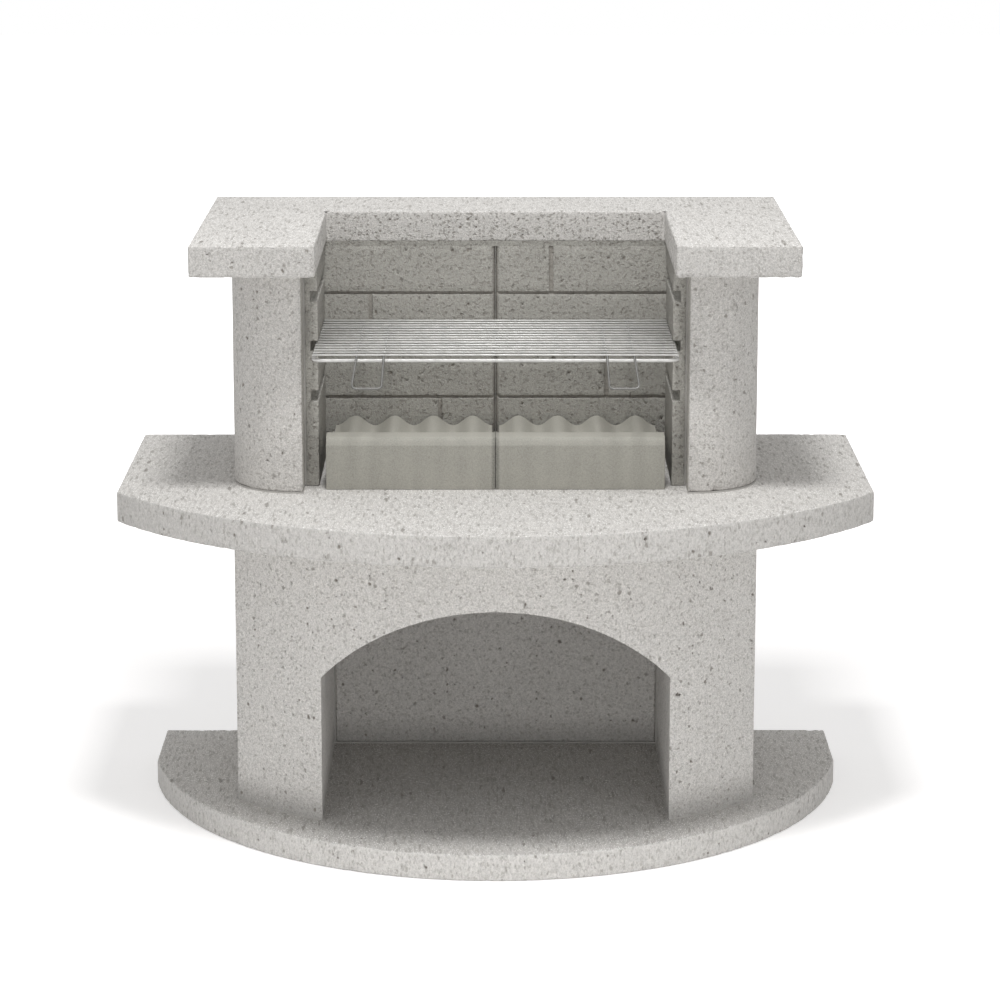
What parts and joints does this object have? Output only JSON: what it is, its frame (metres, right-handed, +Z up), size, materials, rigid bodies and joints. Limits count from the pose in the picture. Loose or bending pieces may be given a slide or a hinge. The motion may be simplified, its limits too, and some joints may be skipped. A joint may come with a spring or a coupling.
{
  "type": "outdoor masonry barbecue",
  "caption": "Masonry barbecue of pale concrete blocks: bowed body with arched wood store, wide worktop, fireclay chamber with charcoal trays, sliding wire rack and notched cover slab.",
  "frame": {"origin": "on the ground, at the middle of the bounding box's underside", "axes": "+Z up, -Y towards the cook, +X to the right as seen from the front"},
  "size_m": [1.128, 0.7376, 0.918],
  "materials": {
    "concrete": "pale cast concrete with dark grit, fine pits and eased edges",
    "lining_fireclay": "rough grey fireclay with pits",
    "tray_fireclay": "smooth greenish grey fireclay",
    "stone_adhesive": "matt cement adhesive",
    "chromed_wire": "bright chromed steel wire"
  },
  "bodies": {
    "masonry": {"base_slab": "concrete", "lower_front_wall": "concrete", "lower_side_left": "concrete", "lower_side_right": "concrete", "lower_back_wall": "concrete", "worktop": "concrete", "column_left": "concrete", "column_right": "concrete", "upper_back_wall": "concrete", "cover_slab": "concrete", "side_lining_left": "lining_fireclay", "side_lining_right": "lining_fireclay", "back_lining_left": "lining_fireclay", "back_lining_right": "lining_fireclay", "base_bed": "stone_adhesive", "worktop_bed": "stone_adhesive", "column_bed": "stone_adhesive", "cover_bed": "stone_adhesive", "front_joint_left": "stone_adhesive", "front_joint_right": "stone_adhesive", "lower_joint_left": "stone_adhesive", "lower_joint_right": "stone_adhesive", "upper_joint_left": "stone_adhesive", "upper_joint_right": "stone_adhesive", "side_mortar_left": "stone_adhesive", "side_mortar_right": "stone_adhesive", "back_mortar": "stone_adhesive"},
    "rack": {"rack_frame": "chromed_wire", "rack_wire_01": "chromed_wire", "rack_wire_02": "chromed_wire", "rack_wire_03": "chromed_wire", "rack_wire_04": "chromed_wire", "rack_wire_05": "chromed_wire", "rack_wire_06": "chromed_wire", "rack_wire_07": "chromed_wire", "rack_wire_08": "chromed_wire", "rack_wire_09": "chromed_wire", "rack_wire_10": "chromed_wire", "rack_wire_11": "chromed_wire", "rack_wire_12": "chromed_wire", "rack_wire_13": "chromed_wire", "rack_wire_14": "chromed_wire", "rack_wire_15": "chromed_wire", "rack_handle_left": "chromed_wire", "rack_handle_right": "chromed_wire"},
    "tray_left": {"fire_tray_left": "tray_fireclay"},
    "tray_right": {"fire_tray_right": "tray_fireclay"}
  },
  "joints": [
    {"name": "rack_slide", "type": "slide", "parent": "masonry", "child": "rack", "axis": [0, -1, 0], "range_m": [0, 0.62]},
    {"name": "tray_left_slide", "type": "slide", "parent": "masonry", "child": "tray_left", "axis": [0, -1, 0], "range_m": [0, 0.62]},
    {"name": "tray_right_slide", "type": "slide", "parent": "masonry", "child": "tray_right", "axis": [0, -1, 0], "range_m": [0, 0.62]}
  ]
}
